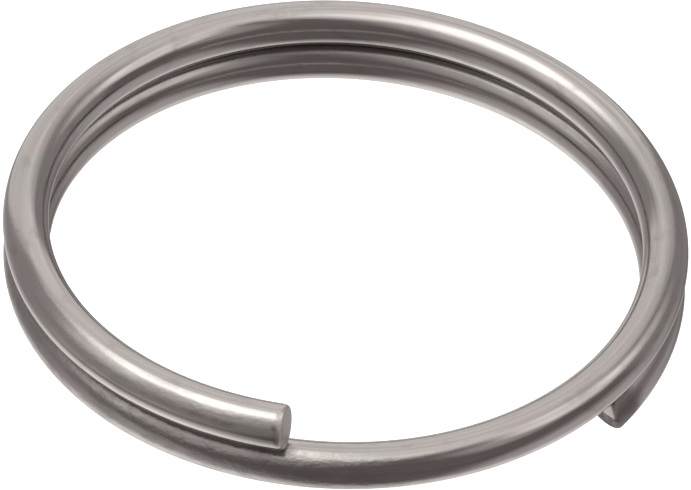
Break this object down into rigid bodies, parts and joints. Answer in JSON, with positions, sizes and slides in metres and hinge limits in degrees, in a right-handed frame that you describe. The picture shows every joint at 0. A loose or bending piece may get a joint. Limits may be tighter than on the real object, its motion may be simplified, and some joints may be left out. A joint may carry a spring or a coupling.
{
  "type": "split key ring",
  "caption": "Close-wound ring of round spring wire whose free ends spring apart, so that keys and tags can be slid round onto its coils.",
  "frame": {"origin": "on the coil's axis, level with the lowest point of the wire", "axes": "+Z along the coil's axis towards the upper end; -Y faces the stretch where only one thickness of wire lies between the two ends"},
  "size_m": [0.03, 0.03, 0.0057],
  "materials": {
    "spring_wire": "satin drawn stainless spring wire, with fine lengthwise draw lines and light scuffs from tumbling"
  },
  "bodies": {
    "middle_coil": {"middle_coil": "spring_wire"},
    "lower_quarter": {"lower_quarter": "spring_wire"},
    "lower_tip": {"lower_tip": "spring_wire"},
    "upper_quarter": {"upper_quarter": "spring_wire"},
    "upper_tip": {"upper_tip": "spring_wire"}
  },
  "joints": [
    {"name": "lower_end_opening", "type": "hinge", "parent": "middle_coil", "child": "lower_quarter", "pos_m": [-0.01133, 0.00823, 0.00201], "axis": [0.5878, 0.809, 0], "range_deg": [0, 4.25], "stiffness_Nm_per_rad": 0.03, "springref_deg": -0.69},
    {"name": "lower_tip_bend", "type": "hinge", "parent": "lower_quarter", "child": "lower_tip", "pos_m": [0.00823, 0.01133, 0.00151], "axis": [0.9995, 0.0311, 0], "range_deg": [0, 2.69], "stiffness_Nm_per_rad": 0.006, "springref_deg": -0.86},
    {"name": "upper_end_opening", "type": "hinge", "parent": "middle_coil", "child": "upper_quarter", "pos_m": [0.00212, 0.01384, 0.00368], "axis": [-0.9885, 0.1513, 0], "range_deg": [0, 4.25], "stiffness_Nm_per_rad": 0.03, "springref_deg": -0.69},
    {"name": "upper_tip_bend", "type": "hinge", "parent": "upper_quarter", "child": "upper_tip", "pos_m": [-0.01384, 0.00212, 0.00418], "axis": [-0.7252, -0.6886, 0], "range_deg": [0, 2.69], "stiffness_Nm_per_rad": 0.006, "springref_deg": -0.86}
  ],
  "couplings": [
    {"joint": "lower_tip_bend", "follows": "lower_end_opening", "ratio": 0.63264},
    {"joint": "upper_tip_bend", "follows": "upper_end_opening", "ratio": 0.63264}
  ]
}
